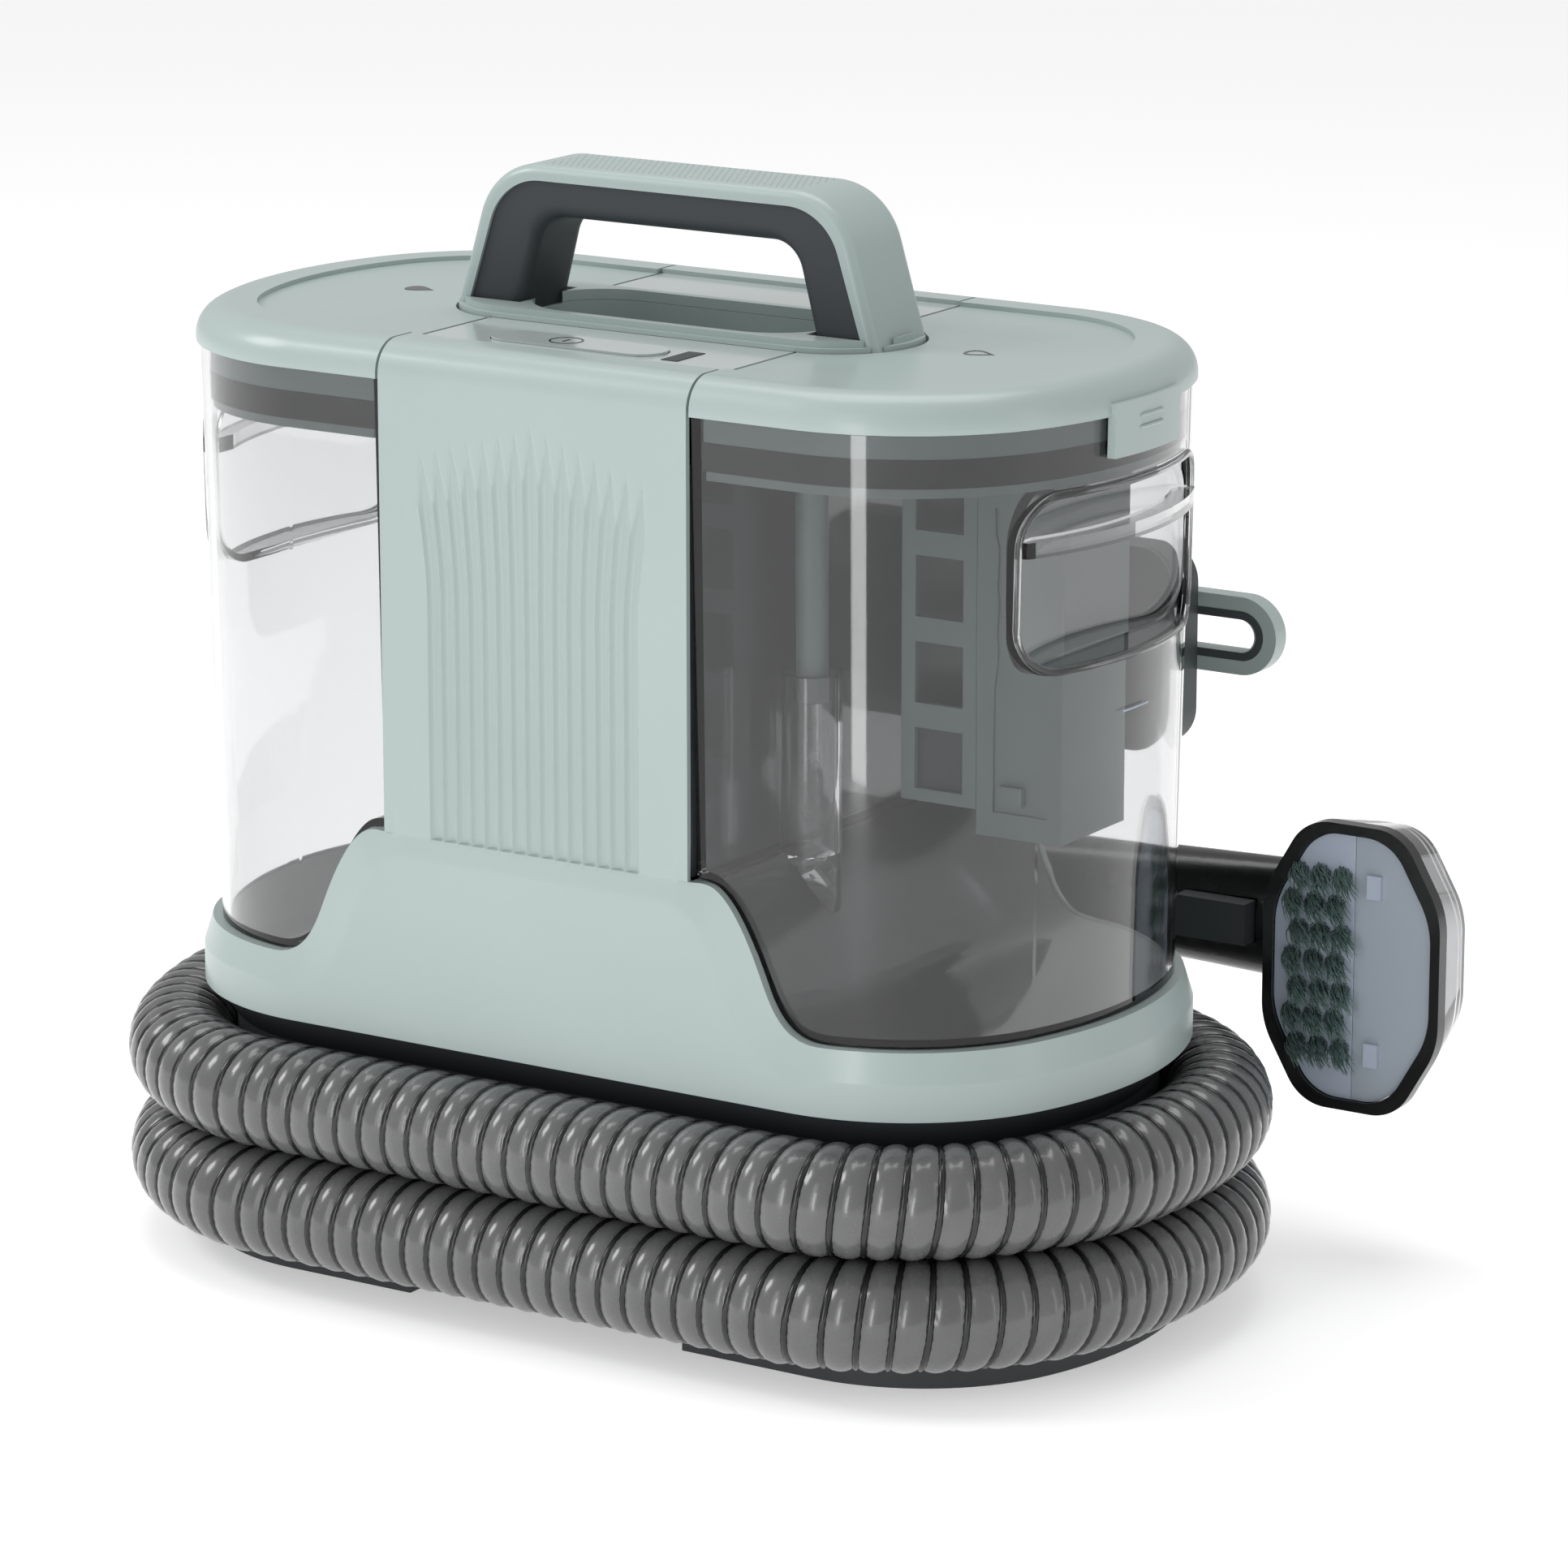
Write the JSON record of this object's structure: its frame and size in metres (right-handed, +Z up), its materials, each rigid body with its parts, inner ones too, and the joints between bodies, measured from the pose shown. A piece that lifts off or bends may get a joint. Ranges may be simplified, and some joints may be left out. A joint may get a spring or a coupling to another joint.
{
  "type": "carpet cleaner machine",
  "caption": "Portable carpet cleaner with two clear side tanks, a carry handle, a ribbed suction hose wound round its base and a brush tool docked behind.",
  "frame": {"origin": "centre of the footprint on the floor", "axes": "+X along the machine towards the clean tank, +Y to the back, +Z up"},
  "size_m": [0.4218, 0.2706, 0.361],
  "materials": {
    "sage": "satin sage plastic",
    "dark_grey": "fine textured dark grey plastic",
    "clear": "clear moulded plastic",
    "smoke_clear": "smoked clear plastic",
    "hose": "smoky ribbed hose",
    "black": "glossy black plastic",
    "grey_green": "matt grey green plastic",
    "mid_grey": "matt grey plastic",
    "rubber": "soft dark rubber",
    "steel": "steel",
    "board": "green circuit board",
    "white_blue": "pale blue white plastic",
    "bristle": "teal green bristles",
    "deck": "glossy pale sage plastic"
  },
  "bodies": {
    "base": {"foot_plinth": "dark_grey", "base_pan": "dark_grey", "housing_shell": "sage", "column_wall_right": "dark_grey", "column_wall_left": "dark_grey", "clean_socket": "rubber", "dirty_socket": "rubber", "chassis_plate": "mid_grey", "top_deck": "deck", "indicator_window": "mid_grey", "circuit_board": "board", "power_switch": "black", "button_spring": "steel", "handle_surround": "sage", "handle_shell": "sage", "handle_grip": "dark_grey", "fan_housing": "mid_grey", "suction_motor": "steel", "motor_mount": "mid_grey", "intake_duct": "mid_grey", "solution_pump": "mid_grey", "hose_port": "dark_grey", "suction_hose": "hose", "hose_cuff_machine": "dark_grey", "hose_cuff_tool": "black", "rear_bracket": "mid_grey", "loop_hook_right": "sage", "loop_hook_left": "sage", "tool_cradle": "dark_grey", "tool_body": "black", "head_frame": "black", "nozzle_hood": "smoke_clear", "brush_plate": "white_blue", "nozzle_window": "clear", "bristle_tufts": "bristle", "nozzle_clips": "white_blue", "spray_tip": "mid_grey", "bracket_screws": "steel", "cord_gland": "dark_grey"},
    "clean_tank": {"clean_tank": "clear", "clean_tank_grip": "clear", "riser_sleeve": "clear"},
    "clean_lid": {"clean_lid": "sage", "clean_lid_plug": "grey_green", "clean_gasket": "rubber", "riser_tube": "grey_green", "float_cage": "grey_green", "filter_box": "grey_green", "filter_catch": "grey_green"},
    "float": {"float": "mid_grey"},
    "dirty_tank": {"dirty_tank": "clear", "dirty_tank_grip": "clear"},
    "dirty_lid": {"dirty_lid": "sage", "dirty_lid_plug": "grey_green", "dirty_gasket": "rubber"},
    "power_button": {"power_button": "deck"},
    "trigger": {"tool_trigger": "dark_grey"},
    "fan": {"fan_rotor": "mid_grey"}
  },
  "joints": [
    {"name": "clean_tank_slide", "type": "slide", "parent": "base", "child": "clean_tank", "axis": [1, 0, 0], "range_m": [0, 0.115]},
    {"name": "clean_lid_lift", "type": "slide", "parent": "clean_tank", "child": "clean_lid", "axis": [0, 0, 1], "range_m": [0, 0.145]},
    {"name": "float_slide", "type": "slide", "parent": "clean_lid", "child": "float", "axis": [0, 0, 1], "range_m": [0, 0.08]},
    {"name": "dirty_tank_slide", "type": "slide", "parent": "base", "child": "dirty_tank", "axis": [-1, 0, 0], "range_m": [0, 0.115]},
    {"name": "dirty_lid_lift", "type": "slide", "parent": "dirty_tank", "child": "dirty_lid", "axis": [0, 0, 1], "range_m": [0, 0.06]},
    {"name": "power_button_press", "type": "slide", "parent": "base", "child": "power_button", "axis": [0, 0, -1], "range_m": [0, 0.0015], "stiffness_N_per_m": 800, "springref_m": -0.0006, "deforming": ["button_spring"]},
    {"name": "trigger_press", "type": "slide", "parent": "base", "child": "trigger", "axis": [0, 1, 0], "range_m": [0, 0.003], "stiffness_N_per_m": 800, "springref_m": -0.001},
    {"name": "fan_spin", "type": "hinge", "parent": "base", "child": "fan", "pos_m": [0, 0, 0.145], "axis": [0, 0, 1], "continuous": true}
  ]
}
